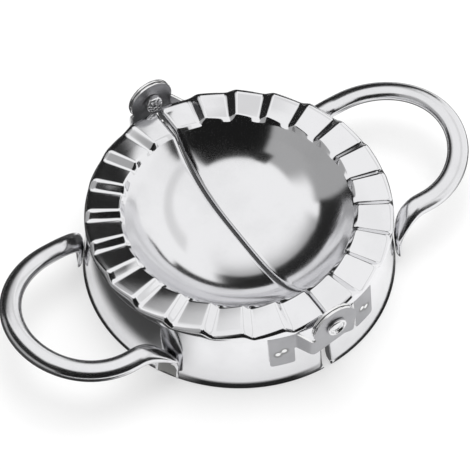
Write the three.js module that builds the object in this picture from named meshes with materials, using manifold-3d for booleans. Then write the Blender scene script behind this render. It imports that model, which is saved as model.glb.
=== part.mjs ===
// A pressed-steel ravioli stamp: two identical half presses joined by two riveted hinges.
// Lying open it is a round press on a cutter ring; folded, the two crimped rims bite the dough shut.
// Millimetres, +Z up. The origin is on the table at the middle of the ring, the hinge axis runs
// along Y and the handles stand out along X. The right half is drawn, and the left half is the
// same stampings turned half round about Z, which is how the crimps come to nest when it folds.

import * as THREE from 'three';
import { mergeVertices } from 'three/addons/utils/BufferGeometryUtils.js';
import Module from 'manifold-3d';

const wasm = await Module();
wasm.setup();

const degrees = THREE.MathUtils.degToRad;

// Driving dimensions of the whole stamp
const RIM_RADIUS = 47.8; // outside of the crimped rim
const RIM_HEIGHT = 25.5; // mean top face of the rim above the table
const SHEET = 0.6; // stamped sheet of the plates and skirts
const RUNNING_GAP = 0.3; // clearance where two pieces meet
const CUT_OVERRUN = 2; // how far a cutting tool runs past what it cuts

// Press plate: crimped rim
const CRIMP_LENGTH = 11.1; // from the rim's edge in to the foot of the crimps
const CRIMP_HEIGHT = 2; // valley to ridge
const CRIMP_STEPS = 11; // steep steps in a half ring, so 12 crimps
const STEEP_ANGLE = degrees(3.7); // the steep face of one crimp
const RAMP_SLICES = 2; // facets across the wide face of a crimp
const RIM_LIP_DROP = 2.3; // how far the outer edge is turned down
const RIM_BEND_RADIUS = 1.8;

// Press plate: smooth ledge inside the crimps, and the filling bowl
const CRIMP_RUNOUT = 0.9; // the crimps die out over this width
const LEDGE_OUTER_DROP = 1.5;
const LEDGE_WIDTH = 2.2;
const LEDGE_INNER_DROP = 3;
const BOWL_DEPTH = 14.4;
const BOWL_POWER = 3.5; // a flat middle that turns up steeply at the mouth
const BOWL_RING_SHARES = [0.94, 0.87, 0.78, 0.68, 0.55, 0.4, 0.22, 0];

// Press plate: edge along the parting line
const PLATE_GAP = 1; // between the two plates
const EDGE_LIP_DEPTH = 2.4; // stiffening lip turned down along the edge

// Cutter skirt
const SKIRT_INSET = 1.3; // the top of the wall stands inside the rim's edge
const SKIRT_SPREAD = 3; // the cutting edge stands outside the top of the wall
const SKIRT_FLARE_HEIGHT = 2; // the cutting edge flares over this height
const SKIRT_FLARE = 0.45;
const SHOULDER_RADIUS = 1.2;
const FLANGE_WIDTH = 3.8; // flange under the rim
const SKIRT_GAP = 2.6; // between the two skirts at the hinges
const SKIRT_SLICES = 64; // round the whole ring
const RETURN_DEPTH = 3; // lip turned in at each end of the skirt
const RETURN_CORNER = 1.5;
const RETURN_FOOT_CLEARANCE = 0.8;

// Loop handle: a steel tube whose ends are flattened and bent down on to the skirt
const HANDLE_STANDOFF = 5.2; // centre of the round of the loop, out from the cutting edge
const HANDLE_ROUND_RADIUS = 23.7;
const HANDLE_DROP = 9.5; // the tube leaves the skirt this far below the rim
const HANDLE_RISE = 2.6; // the loop climbs a little to its tip
const TUBE_WIDTH = 7.2;
const TUBE_THICKNESS = 5.6;
const TUBE_TILT = degrees(14);
const TUBE_WALL = 0.8;
const FOOT_ANGLE = degrees(31); // from the handle's middle line, round the skirt
const FOOT_WIDTH = 7.8;
const FOOT_THICKNESS = 3;
const FOOT_DROP = 11; // from the tube's middle line down to the foot's bottom
const FOOT_LENGTH = 4.4;
const FOOT_BEND = 2.6; // how far the bend runs on up the wall
const LEAD_BEND = 4.6; // and how far it runs back along the straight tube
const MOUTH_HEIGHT = 6.4; // the tube's open end, an arch above the foot's bottom
const SCARF_HEIGHT = 5.2; // over this height the sides of the mouth run thin
const SCARF_TIP = 1.6;
const LEAD_LENGTH = 3; // straight tube between the foot's bend and the round
const CRUSH_SHARE = 0.2; // the first part of the bend is crushed as flat as the foot
const TUBE_SIDES = 12;
const ROUND_SLICES = 22;
const BEND_SLICES = 7;

// Hinge: two stamped ears on each rivet
const AXIS_CLEARANCE = 0.6; // hinge axis above the rim, half of the dough's space
const BRACKET_SHEET = 0.8;
const EAR_RADIUS = 7.4;
const EAR_STANDOFF = 2.6; // from the rim's edge out to the inner ear
const JOG_RUN = 2.5; // the jog between the ear and the tab, along the hinge's plane
const TAB_WIDTH = 8.8; // round the skirt
const TAB_HEIGHT = 12.5;
const ARM_WIDTH = 6.2;
const BRACKET_BEND = 1;
const TAB_CORNER = 0.8;

// Hinge rivet
const RIVET_RADIUS = 1.8;
const RIVET_HEAD_RADIUS = 3.2;
const RIVET_HEAD_HEIGHT = 1.1;
const RIVET_HEAD_DISH = 0.4;
const RIVET_END_RADIUS = 2.5;
const RIVET_END_LENGTH = 2.1;
const RIVET_BORE_RADIUS = 1.1;
const RIVET_BORE_DEPTH = 1.6;
const RIVET_EDGE = 0.35;
const ROUND_SIDES = 24;

// Places worked out from the driving dimensions
const CRIMP_INNER_RADIUS = RIM_RADIUS - CRIMP_LENGTH;
const LEDGE_OUTER_RADIUS = CRIMP_INNER_RADIUS - CRIMP_RUNOUT;
const LEDGE_INNER_RADIUS = LEDGE_OUTER_RADIUS - LEDGE_WIDTH;
const SKIRT_TOP_RADIUS = RIM_RADIUS - SKIRT_INSET;
const SKIRT_FOOT_RADIUS = SKIRT_TOP_RADIUS + SKIRT_SPREAD;
const HANDLE_REACH = SKIRT_FOOT_RADIUS + HANDLE_STANDOFF;
const HANDLE_HEIGHT = RIM_HEIGHT - HANDLE_DROP;
const FOOT_BOTTOM = HANDLE_HEIGHT - FOOT_DROP;
const FOOT_TOP = FOOT_BOTTOM + FOOT_LENGTH;
const AXIS_HEIGHT = RIM_HEIGHT + AXIS_CLEARANCE;
const SKIRT_TOP = RIM_HEIGHT - CRIMP_HEIGHT / 2 - SHEET - RUNNING_GAP;
const ARM_TOP = RIM_HEIGHT - RIM_LIP_DROP - RUNNING_GAP; // the arm passes under the rim's lip
const ARM_DROP = AXIS_HEIGHT - ARM_TOP;
const ARM_BOTTOM = ARM_TOP - ARM_WIDTH;
const TAB_BOTTOM = ARM_TOP - TAB_HEIGHT;
const INNER_EAR = RIM_RADIUS + EAR_STANDOFF; // inner face of the ear nearest the ring
const OUTER_EAR = INNER_EAR + BRACKET_SHEET + RUNNING_GAP;
// The arm of one half's outer ear steps out clear of the other half's inner ear.
const JOG_END = Math.sqrt(EAR_RADIUS ** 2 - ARM_DROP ** 2) + RUNNING_GAP + BRACKET_BEND / 2;
const TAB_WALL = skirtRadius(TAB_BOTTOM) + RUNNING_GAP;
const TAB_START_ANGLE = Math.asin((JOG_END + JOG_RUN) / TAB_WALL); // from the parting line
const TAB_END_ANGLE = TAB_START_ANGLE + TAB_WIDTH / TAB_WALL;

const steel = (color, roughness) =>
  new THREE.MeshStandardMaterial({ color, roughness, metalness: 1 });
const polishedSteel = steel(0xd4d5d9, 0.12);
const tubeSteel = steel(0xcfd0d4, 0.18);
const bracketSteel = steel(0xb9babf, 0.3);

// Solids from geometries, and back

function toSolid(geometry) {
  const bare = geometry.clone();
  bare.deleteAttribute('normal');
  bare.deleteAttribute('uv');
  const merged = mergeVertices(bare);
  return new wasm.Manifold(
    new wasm.Mesh({
      numProp: 3,
      vertProperties: new Float32Array(merged.attributes.position.array),
      triVerts: new Uint32Array(merged.index.array),
    }),
  );
}

function toGeometry(solid) {
  const { numProp, vertProperties, triVerts } = solid.getMesh();
  const positions = new Float32Array((vertProperties.length / numProp) * 3);
  for (let i = 0; i * numProp < vertProperties.length; i++) {
    positions.set(vertProperties.subarray(i * numProp, i * numProp + 3), i * 3);
  }
  const geometry = new THREE.BufferGeometry();
  geometry.setAttribute('position', new THREE.BufferAttribute(positions, 3));
  geometry.setIndex(new THREE.BufferAttribute(triVerts, 1));
  geometry.computeVertexNormals();
  return geometry;
}

function signedVolume(points, triangles) {
  const [a, b, c] = [new THREE.Vector3(), new THREE.Vector3(), new THREE.Vector3()];
  let sum = 0;
  for (const [i, j, k] of triangles) {
    a.copy(points[i]);
    b.copy(points[j]);
    c.copy(points[k]);
    sum += a.dot(b.cross(c));
  }
  return sum;
}

// A closed geometry from points and triangles that all wind one way, turned to face outwards
function closedGeometry(points, triangles) {
  const outwards = signedVolume(points, triangles) > 0;
  const index = triangles.flatMap(([i, j, k]) => (outwards ? [i, j, k] : [i, k, j]));
  const geometry = new THREE.BufferGeometry().setFromPoints(points);
  geometry.setIndex(index);
  return geometry.toNonIndexed();
}

// A bent sheet: two matching grids of points, one for each face, closed along their four edges
function sheetGeometry(upper, lower) {
  const rows = upper.length;
  const columns = upper[0].length;
  const points = [...upper.flat(), ...lower.flat()];
  const at = (row, column) => row * columns + column;
  const under = (row, column) => rows * columns + at(row, column);
  const triangles = [];
  const quad = (a, b, c, d) => triangles.push([a, b, c], [a, c, d]);
  for (let r = 0; r + 1 < rows; r++) {
    for (let c = 0; c + 1 < columns; c++) {
      quad(at(r, c), at(r, c + 1), at(r + 1, c + 1), at(r + 1, c));
      quad(under(r, c), under(r + 1, c), under(r + 1, c + 1), under(r, c + 1));
    }
    quad(at(r, 0), at(r + 1, 0), under(r + 1, 0), under(r, 0));
    quad(at(r + 1, columns - 1), at(r, columns - 1), under(r, columns - 1), under(r + 1, columns - 1));
  }
  for (let c = 0; c + 1 < columns; c++) {
    quad(at(0, c + 1), at(0, c), under(0, c), under(0, c + 1));
    quad(at(rows - 1, c), at(rows - 1, c + 1), under(rows - 1, c + 1), under(rows - 1, c));
  }
  return closedGeometry(points, triangles);
}

// A loft through matching rings of points, closed by a fan at each end
function loftGeometry(rings) {
  const sides = rings[0].length;
  const points = rings.flat();
  const triangles = [];
  for (let r = 0; r + 1 < rings.length; r++) {
    for (let s = 0; s < sides; s++) {
      const next = (s + 1) % sides;
      const [a, b] = [r * sides + s, r * sides + next];
      triangles.push([a, b, b + sides], [a, b + sides, a + sides]);
    }
  }
  const last = (rings.length - 1) * sides;
  for (let s = 1; s + 1 < sides; s++) {
    triangles.push([0, s + 1, s], [last, last + s, last + s + 1]);
  }
  return closedGeometry(points, triangles);
}

// The other face of a sheet whose one face follows a line in a plane
function offsetLine(line, distance) {
  return line.map((point, i) => {
    const before = line[Math.max(i - 1, 0)];
    const after = line[Math.min(i + 1, line.length - 1)];
    const into = point.clone().sub(before).normalize();
    const out = after.clone().sub(point).normalize();
    const along = into.clone().add(out).normalize();
    const turn = i === 0 || i === line.length - 1 ? 1 : Math.max(into.dot(along), 0.5);
    return new THREE.Vector2(point.x - (along.y * distance) / turn, point.y + (along.x * distance) / turn);
  });
}

// Three points that round the corner of a line
function roundCorner(before, corner, after, radius) {
  const start = corner.clone().add(before.clone().sub(corner).setLength(radius));
  const end = corner.clone().add(after.clone().sub(corner).setLength(radius));
  return new THREE.QuadraticBezierCurve(start, corner, end).getPoints(2);
}

function boxBetween(low, high) {
  const size = high.clone().sub(low);
  const middle = low.clone().add(high).divideScalar(2);
  return new THREE.BoxGeometry(size.x, size.y, size.z).translate(middle.x, middle.y, middle.z);
}

// Everything left of the plane x = position, to trim a half ring to the parting line
function leftOf(position) {
  const reach = SKIRT_FOOT_RADIUS + CUT_OVERRUN;
  const low = new THREE.Vector3(-reach, -reach, -CUT_OVERRUN);
  const high = new THREE.Vector3(position, reach, AXIS_HEIGHT + EAR_RADIUS + CUT_OVERRUN);
  return toSolid(boxBetween(low, high));
}

// A flat plate drawn in the YZ plane and given its thickness along +X from x = start
function plateAcross(outline, start, thickness) {
  const plate = new THREE.ExtrudeGeometry(outline, { depth: thickness, bevelEnabled: false });
  // The drawing's x, y and depth become the part's y, z and x.
  plate.applyMatrix4(new THREE.Matrix4().set(0, 0, 1, start, 1, 0, 0, 0, 0, 1, 0, 0, 0, 0, 0, 1));
  return toSolid(plate);
}

// Crimps: a saw-tooth round the rim, wide faces that climb and steep faces that drop

const crimpPitch = Math.PI / (CRIMP_STEPS + 1);

// The angles, from the near end of the right half, at which the crimps turn or are faceted
function crimpAngles() {
  const angles = [];
  for (let crimp = 0; crimp <= CRIMP_STEPS; crimp++) {
    const start = crimp === 0 ? 0 : crimp * crimpPitch + STEEP_ANGLE / 2;
    const end = crimp === CRIMP_STEPS ? Math.PI : (crimp + 1) * crimpPitch - STEEP_ANGLE / 2;
    for (let slice = 0; slice <= RAMP_SLICES; slice++) {
      angles.push(start + ((end - start) * slice) / RAMP_SLICES);
    }
  }
  return angles;
}

// Height of the saw-tooth, from -1 in a valley to 1 on a ridge
function crimpWave(angle) {
  const crimp = Math.min(Math.floor(angle / crimpPitch + 1e-9), CRIMP_STEPS);
  const nearest = Math.round(angle / crimpPitch);
  const fromStep = angle - nearest * crimpPitch;
  const onStep = nearest > 0 && nearest <= CRIMP_STEPS && Math.abs(fromStep) < STEEP_ANGLE / 2;
  if (onStep) return (-2 * fromStep) / STEEP_ANGLE;
  const start = crimp === 0 ? 0 : crimp * crimpPitch + STEEP_ANGLE / 2;
  const end = crimp === CRIMP_STEPS ? Math.PI : (crimp + 1) * crimpPitch - STEEP_ANGLE / 2;
  return (2 * (angle - start)) / (end - start) - 1;
}

// The crimps die out inwards at the smooth ledge of the bowl and down the rim's lip, whose edge is level
function crimpShare(point) {
  const inwards = (point.x - LEDGE_OUTER_RADIUS) / (CRIMP_INNER_RADIUS - LEDGE_OUTER_RADIUS);
  const down = (point.y - RIM_HEIGHT + RIM_LIP_DROP) / RIM_LIP_DROP;
  return THREE.MathUtils.clamp(Math.min(inwards, down), 0, 1);
}

// Press plate: top face of the mean section, from the turned-down lip in to the middle of the bowl
function plateSection() {
  const bend = new THREE.EllipseCurve(
    RIM_RADIUS - RIM_BEND_RADIUS, RIM_HEIGHT - RIM_BEND_RADIUS,
    RIM_BEND_RADIUS, RIM_BEND_RADIUS, 0, Math.PI / 2,
  ).getPoints(3);
  const mouth = RIM_HEIGHT - LEDGE_INNER_DROP;
  const bottom = RIM_HEIGHT - BOWL_DEPTH;
  const bowl = BOWL_RING_SHARES.map((share) => new THREE.Vector2(
    LEDGE_INNER_RADIUS * share,
    bottom + (mouth - bottom) * share ** BOWL_POWER,
  ));
  return [
    new THREE.Vector2(RIM_RADIUS, RIM_HEIGHT - RIM_LIP_DROP),
    ...bend,
    new THREE.Vector2(CRIMP_INNER_RADIUS, RIM_HEIGHT),
    new THREE.Vector2(LEDGE_OUTER_RADIUS, RIM_HEIGHT - LEDGE_OUTER_DROP),
    new THREE.Vector2(LEDGE_INNER_RADIUS, mouth),
    ...bowl,
  ];
}

function pressPlate() {
  const top = plateSection();
  const under = offsetLine(top, SHEET);
  under[under.length - 1].x = 0;
  const angles = crimpAngles();
  const revolved = (face) => face.map((point, i) => angles.map((angle) => {
    const lift = crimpWave(angle) * crimpShare(top[i]) * (CRIMP_HEIGHT / 2);
    const radius = point.x;
    return new THREE.Vector3(radius * Math.sin(angle), -radius * Math.cos(angle), point.y + lift);
  }));
  const ring = toSolid(sheetGeometry(revolved(top), revolved(under)));
  return ring.subtract(leftOf(PLATE_GAP / 2)).add(edgeLip(top));
}

// The lip turned down along the parting edge follows the section from rim to rim
function edgeLip(section) {
  const edge = section.filter((point) => point.x < RIM_RADIUS - SHEET);
  const half = (side) => edge.map((point) => {
    const crimp = side * crimpShare(point) * (CRIMP_HEIGHT / 2);
    return new THREE.Vector2(side * point.x, point.y + crimp);
  });
  const middle = half(1).pop();
  const top = [...half(-1).slice(0, -1), middle, ...half(1).slice(0, -1).reverse()];
  const lowered = (drop) => top.map((point) => new THREE.Vector2(point.x, point.y - drop));
  const outline = new THREE.Shape([...lowered(EDGE_LIP_DEPTH), ...lowered(SHEET / 2).reverse()]);
  return plateAcross(outline, PLATE_GAP / 2, SHEET);
}

// Cutter skirt: a cone with a flared cutting edge and a flange under the rim

function skirtRadius(height) {
  const share = height / SKIRT_TOP;
  return SKIRT_FOOT_RADIUS - SKIRT_FLARE + (SKIRT_TOP_RADIUS - SKIRT_FOOT_RADIUS + SKIRT_FLARE) * share;
}

function cutterSkirt() {
  const shoulder = new THREE.EllipseCurve(
    skirtRadius(SKIRT_TOP - SHOULDER_RADIUS) - SHOULDER_RADIUS, SKIRT_TOP - SHOULDER_RADIUS,
    SHOULDER_RADIUS, SHOULDER_RADIUS, 0, Math.PI / 2,
  ).getPoints(4);
  const outside = [
    new THREE.Vector2(SKIRT_FOOT_RADIUS, 0),
    new THREE.Vector2(skirtRadius(SKIRT_FLARE_HEIGHT / 2) + SKIRT_FLARE / 4, SKIRT_FLARE_HEIGHT / 2),
    new THREE.Vector2(skirtRadius(SKIRT_FLARE_HEIGHT), SKIRT_FLARE_HEIGHT),
    ...shoulder,
    new THREE.Vector2(SKIRT_TOP_RADIUS - FLANGE_WIDTH, SKIRT_TOP),
  ];
  const inside = offsetLine(outside, SHEET);
  inside[0].y = 0;
  // LatheGeometry turns about its own Y axis, which is stood up along Z here.
  const profile = [...outside, ...inside.reverse(), outside[0].clone()].reverse();
  const ring = new THREE.LatheGeometry(profile, SKIRT_SLICES).rotateX(Math.PI / 2);
  const half = facingOut(ring).subtract(leftOf(SKIRT_GAP / 2));
  return half.add(returnLip(1)).add(returnLip(-1));
}

function facingOut(geometry) {
  const flat = geometry.index ? geometry.toNonIndexed() : geometry;
  const place = flat.attributes.position;
  const points = [];
  for (let i = 0; i < place.count; i++) points.push(new THREE.Vector3().fromBufferAttribute(place, i));
  const triangles = [];
  for (let i = 0; i < place.count; i += 3) triangles.push([i, i + 1, i + 2]);
  return toSolid(closedGeometry(points, triangles));
}

// The end of the skirt is turned in, which keeps the cut edge off the fingers
function returnLip(side) {
  const wall = (height) => Math.sqrt(skirtRadius(height) ** 2 - (SKIRT_GAP / 2) ** 2) - SHEET / 2;
  const low = RETURN_FOOT_CLEARANCE;
  const high = SKIRT_TOP - SHOULDER_RADIUS;
  const corner = new THREE.Vector2(wall(low) - RETURN_DEPTH, low);
  const rounded = roundCorner(
    new THREE.Vector2(wall(low), low), corner,
    new THREE.Vector2(wall(high) - RETURN_DEPTH, high), RETURN_CORNER,
  );
  const outline = [
    new THREE.Vector2(wall(high) - RETURN_DEPTH, high),
    ...rounded.reverse(),
    new THREE.Vector2(wall(low), low),
    new THREE.Vector2(wall(high), high),
  ].map((point) => new THREE.Vector2(side * point.x, point.y));
  return plateAcross(new THREE.Shape(outline), SKIRT_GAP / 2, SHEET);
}

// Loop handle

// One ring of points across the tube: a rounded oval, flatter where the tube is crushed
function tubeRing({ centre, along, across, width, thickness, tilt }) {
  const over = new THREE.Vector3().crossVectors(along, across).normalize();
  const wide = across.clone().applyAxisAngle(along, tilt);
  const deep = over.applyAxisAngle(along, tilt);
  const ring = [];
  for (let side = 0; side < TUBE_SIDES; side++) {
    const angle = (2 * Math.PI * side) / TUBE_SIDES;
    ring.push(centre.clone()
      .addScaledVector(wide, (Math.cos(angle) * width) / 2)
      .addScaledVector(deep, (Math.sin(angle) * thickness) / 2));
  }
  return ring;
}

// The middle of the foot at a height, and its directions: up the skirt's wall, along it and out from it
function footAt(height) {
  const lean = new THREE.Vector3(Math.cos(FOOT_ANGLE), -Math.sin(FOOT_ANGLE), 0);
  const middle = (level) => lean.clone()
    .multiplyScalar(skirtRadius(level) + RUNNING_GAP + FOOT_THICKNESS / 2)
    .setZ(level);
  const along = middle(FOOT_TOP).sub(middle(FOOT_BOTTOM)).normalize();
  const across = new THREE.Vector3(Math.sin(FOOT_ANGLE), Math.cos(FOOT_ANGLE), 0);
  const out = new THREE.Vector3().crossVectors(across, along);
  return { centre: middle(height), along, across, out };
}

// Stations along half of the handle, from the foot's tip on the near side out to the loop's tip
function handleStations() {
  const { centre: footHigh, along: up, across: footAcross } = footAt(FOOT_TOP);
  const footLow = footAt(FOOT_BOTTOM).centre;
  const leadAcross = new THREE.Vector3(0, 1, 0);
  const leadStart = new THREE.Vector3(HANDLE_REACH - LEAD_LENGTH, -HANDLE_ROUND_RADIUS, HANDLE_HEIGHT);
  const bend = new THREE.CubicBezierCurve3(
    footHigh,
    footHigh.clone().addScaledVector(up, FOOT_BEND),
    leadStart.clone().setX(leadStart.x - LEAD_BEND),
    leadStart,
  );
  const flat = { width: FOOT_WIDTH, thickness: FOOT_THICKNESS, tilt: 0 };
  const stations = [
    { centre: footLow, along: up, across: footAcross, ...flat },
    { centre: footLow.clone().lerp(footHigh, 0.5), along: up, across: footAcross, ...flat },
  ];
  for (let slice = 0; slice <= BEND_SLICES; slice++) {
    const share = slice / BEND_SLICES;
    const eased = THREE.MathUtils.smoothstep(share, CRUSH_SHARE, 1);
    stations.push({
      centre: bend.getPoint(share),
      along: bend.getTangent(share),
      across: footAcross.clone().lerp(leadAcross, share).normalize(),
      width: THREE.MathUtils.lerp(FOOT_WIDTH, TUBE_WIDTH, eased),
      thickness: THREE.MathUtils.lerp(FOOT_THICKNESS, TUBE_THICKNESS, eased),
      tilt: -TUBE_TILT * eased,
    });
  }
  const height = (turn) => HANDLE_HEIGHT + HANDLE_RISE * (0.5 - 0.5 * Math.cos(2 * turn));
  for (let slice = 0; slice <= ROUND_SLICES / 2; slice++) {
    const turn = (Math.PI * slice) / ROUND_SLICES;
    stations.push({
      centre: new THREE.Vector3(
        HANDLE_REACH + HANDLE_ROUND_RADIUS * Math.sin(turn),
        -HANDLE_ROUND_RADIUS * Math.cos(turn),
        height(turn),
      ),
      along: new THREE.Vector3(Math.cos(turn), Math.sin(turn), 0),
      across: new THREE.Vector3(-Math.sin(turn), Math.cos(turn), 0),
      width: TUBE_WIDTH,
      thickness: TUBE_THICKNESS,
      tilt: -TUBE_TILT,
    });
  }
  return stations;
}

function loopHandle() {
  const near = handleStations().map(tubeRing);
  const far = near.slice(0, -1).reverse().map(
    (ring) => ring.map((point) => new THREE.Vector3(point.x, -point.y, point.z)),
  );
  const mouth = tubeMouth();
  return toSolid(loftGeometry([...near, ...far])).subtract(mouth).subtract(mouth.mirror([0, 1, 0]));
}

// What is cut from the end of the tube: its bore, the arch of its open front and the scarf down its sides
function tubeMouth() {
  const bottom = footAt(FOOT_BOTTOM);
  const inner = { width: FOOT_WIDTH - 2 * TUBE_WALL, thickness: FOOT_THICKNESS - 2 * TUBE_WALL, tilt: 0 };
  const boreFrom = bottom.centre.clone().addScaledVector(bottom.along, -CUT_OVERRUN);
  const boreTo = footAt(FOOT_TOP).centre;
  const bore = loftGeometry([boreFrom, boreTo].map((centre) => tubeRing({ ...bottom, centre, ...inner })));
  const placed = (geometry) => toSolid(geometry.applyMatrix4(
    new THREE.Matrix4().makeBasis(bottom.across, bottom.along, bottom.out).setPosition(bottom.centre),
  ));
  const half = inner.width / 2;
  const arch = new THREE.Shape();
  arch.moveTo(-half, -CUT_OVERRUN);
  arch.lineTo(half, -CUT_OVERRUN);
  arch.absarc(0, MOUTH_HEIGHT - half, half, 0, Math.PI, false);
  arch.closePath();
  const front = new THREE.ExtrudeGeometry(arch, {
    depth: FOOT_THICKNESS / 2 + CUT_OVERRUN, bevelEnabled: false, curveSegments: ROUND_SIDES / 2,
  });
  const scarf = new THREE.Shape([
    new THREE.Vector2(SCARF_TIP - FOOT_THICKNESS / 2, -CUT_OVERRUN),
    new THREE.Vector2(FOOT_THICKNESS / 2 + CUT_OVERRUN, -CUT_OVERRUN),
    new THREE.Vector2(FOOT_THICKNESS / 2 + CUT_OVERRUN, SCARF_HEIGHT),
    new THREE.Vector2(FOOT_THICKNESS / 2, SCARF_HEIGHT),
    new THREE.Vector2(SCARF_TIP - FOOT_THICKNESS / 2, 0),
  ]);
  const sides = new THREE.ExtrudeGeometry(scarf, { depth: FOOT_WIDTH + CUT_OVERRUN, bevelEnabled: false });
  sides.translate(0, 0, -(FOOT_WIDTH + CUT_OVERRUN) / 2).rotateY(-Math.PI / 2);
  return toSolid(bore).add(placed(front)).add(placed(sides));
}

// Hinge bracket: a tab on the skirt, an arm that steps out, and a round ear on the hinge axis

// The bracket seen from above at one height, from the far end of the tab to beyond the rivet
function bracketLine(wallRadius, earPlane) {
  const radius = wallRadius + RUNNING_GAP;
  const tab = [];
  for (let slice = 0; slice <= 3; slice++) {
    const angle = THREE.MathUtils.lerp(TAB_END_ANGLE, TAB_START_ANGLE, slice / 3);
    tab.push(new THREE.Vector2(radius * Math.sin(angle), -radius * Math.cos(angle)));
  }
  const heel = tab.pop();
  const elbow = new THREE.Vector2(JOG_END, -earPlane);
  const beyond = new THREE.Vector2(-EAR_RADIUS - CUT_OVERRUN, -earPlane);
  return [
    ...tab,
    ...roundCorner(tab[tab.length - 1], heel, elbow, BRACKET_BEND),
    ...roundCorner(heel, elbow, beyond, BRACKET_BEND),
    beyond,
  ];
}

// The bracket's outline seen along the hinge axis
function bracketOutline() {
  const tabEdge = (angle) => skirtRadius(TAB_BOTTOM) * Math.sin(angle);
  const outer = tabEdge(TAB_END_ANGLE) + CUT_OVERRUN;
  const inner = tabEdge(TAB_START_ANGLE) + BRACKET_BEND;
  const armMeets = Math.asin(ARM_DROP / EAR_RADIUS);
  const heel = new THREE.Vector2(JOG_END - BRACKET_SHEET, ARM_BOTTOM - AXIS_HEIGHT);
  const leaves = heel.angle() - Math.acos(EAR_RADIUS / heel.length());
  const outline = new THREE.Shape();
  outline.moveTo(outer, TAB_BOTTOM);
  outline.lineTo(outer, ARM_TOP);
  outline.absarc(0, AXIS_HEIGHT, EAR_RADIUS, -armMeets, leaves, false);
  outline.lineTo(heel.x, ARM_BOTTOM);
  outline.lineTo(inner, ARM_BOTTOM);
  outline.lineTo(inner, TAB_BOTTOM + TAB_CORNER);
  outline.lineTo(inner + TAB_CORNER, TAB_BOTTOM);
  outline.closePath();
  const hole = new THREE.Path();
  hole.absarc(0, AXIS_HEIGHT, RIVET_RADIUS + RUNNING_GAP, 0, 2 * Math.PI, true);
  outline.holes.push(hole);
  return outline;
}

// earPlane is the distance of the ear's inner face from the middle of the press; side is -1 near, 1 far
function hingeBracket(earPlane, side) {
  const heights = [TAB_BOTTOM - CUT_OVERRUN, AXIS_HEIGHT + EAR_RADIUS + CUT_OVERRUN];
  const inner = heights.map((height) => bracketLine(skirtRadius(height), earPlane));
  const outer = inner.map((line) => offsetLine(line, BRACKET_SHEET));
  const raise = (lines) => lines.map((line, i) => line.map((p) => new THREE.Vector3(p.x, p.y, heights[i])));
  const strip = toSolid(sheetGeometry(raise(inner), raise(outer)));
  const depth = OUTER_EAR + BRACKET_SHEET + CUT_OVERRUN;
  const drawn = new THREE.ExtrudeGeometry(bracketOutline(), {
    depth, bevelEnabled: false, curveSegments: ROUND_SIDES,
  });
  const bracket = strip.intersect(toSolid(drawn.rotateX(Math.PI / 2)));
  return side < 0 ? bracket : bracket.mirror([0, 1, 0]);
}

// Hinge rivet: a dished head outside, and a tubular end rolled over the inner ear

function hingeRivet() {
  const headFace = OUTER_EAR + BRACKET_SHEET + RUNNING_GAP / 2 + RIVET_HEAD_HEIGHT;
  const headSeat = headFace - RIVET_HEAD_HEIGHT;
  const endSeat = INNER_EAR - RUNNING_GAP / 2;
  const endFace = endSeat - RIVET_END_LENGTH;
  const profile = [
    [0, headFace - RIVET_HEAD_DISH],
    [RIVET_HEAD_RADIUS - 3 * RIVET_EDGE, headFace - RIVET_HEAD_DISH],
    [RIVET_HEAD_RADIUS - 2 * RIVET_EDGE, headFace],
    [RIVET_HEAD_RADIUS - RIVET_EDGE, headFace],
    [RIVET_HEAD_RADIUS, headFace - RIVET_EDGE],
    [RIVET_HEAD_RADIUS, headSeat],
    [RIVET_RADIUS, headSeat],
    [RIVET_RADIUS, endSeat],
    [RIVET_END_RADIUS, endSeat],
    [RIVET_END_RADIUS, endFace + RIVET_EDGE],
    [RIVET_END_RADIUS - RIVET_EDGE, endFace],
    [RIVET_BORE_RADIUS + RIVET_EDGE, endFace],
    [RIVET_BORE_RADIUS, endFace + RIVET_EDGE],
    [0, endFace + RIVET_BORE_DEPTH],
  ].map(([radius, out]) => new THREE.Vector2(radius, -out));
  return facingOut(new THREE.LatheGeometry(profile, ROUND_SIDES));
}

// Assembly

function piece(name, solid, material) {
  const mesh = new THREE.Mesh(toGeometry(solid), material);
  mesh.name = name;
  return mesh;
}

const plate = pressPlate();
const skirt = cutterSkirt();
const handle = loopHandle();
const innerBracket = hingeBracket(INNER_EAR, -1);
const outerBracket = hingeBracket(OUTER_EAR, 1);
const rivet = hingeRivet();

function halfPress(side) {
  const half = new THREE.Group();
  half.add(
    piece(`${side}_press_plate`, plate, polishedSteel),
    piece(`${side}_cutter_skirt`, skirt, polishedSteel),
    piece(`${side}_handle`, handle, tubeSteel),
    piece(`${side}_inner_hinge_bracket`, innerBracket, bracketSteel),
    piece(`${side}_outer_hinge_bracket`, outerBracket, bracketSteel),
  );
  return half;
}

const rightHalf = halfPress('right');
const leftHalf = halfPress('left');
leftHalf.rotation.z = Math.PI;

const nearRivet = piece('near_hinge_rivet', rivet, bracketSteel);
nearRivet.position.z = AXIS_HEIGHT;
const farRivet = piece('far_hinge_rivet', rivet, bracketSteel);
farRivet.position.z = AXIS_HEIGHT;
farRivet.rotation.z = Math.PI;

const stamp = new THREE.Group();
stamp.add(rightHalf, leftHalf, nearRivet, farRivet);

export default stamp;
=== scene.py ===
# A folding ravioli stamp in polished stainless steel, lying open on a pale table.
# Two like half presses carry a bowl, a crimped rim, a cutter skirt and a loop handle each, and turn
# on two riveted hinges. Metres, +Z up. The right half is drawn; turned half round it is the left one.
# Sizes are in millimetres until MM makes them metres.

import math

import bmesh
import bpy
from mathutils import Matrix, Vector


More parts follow.
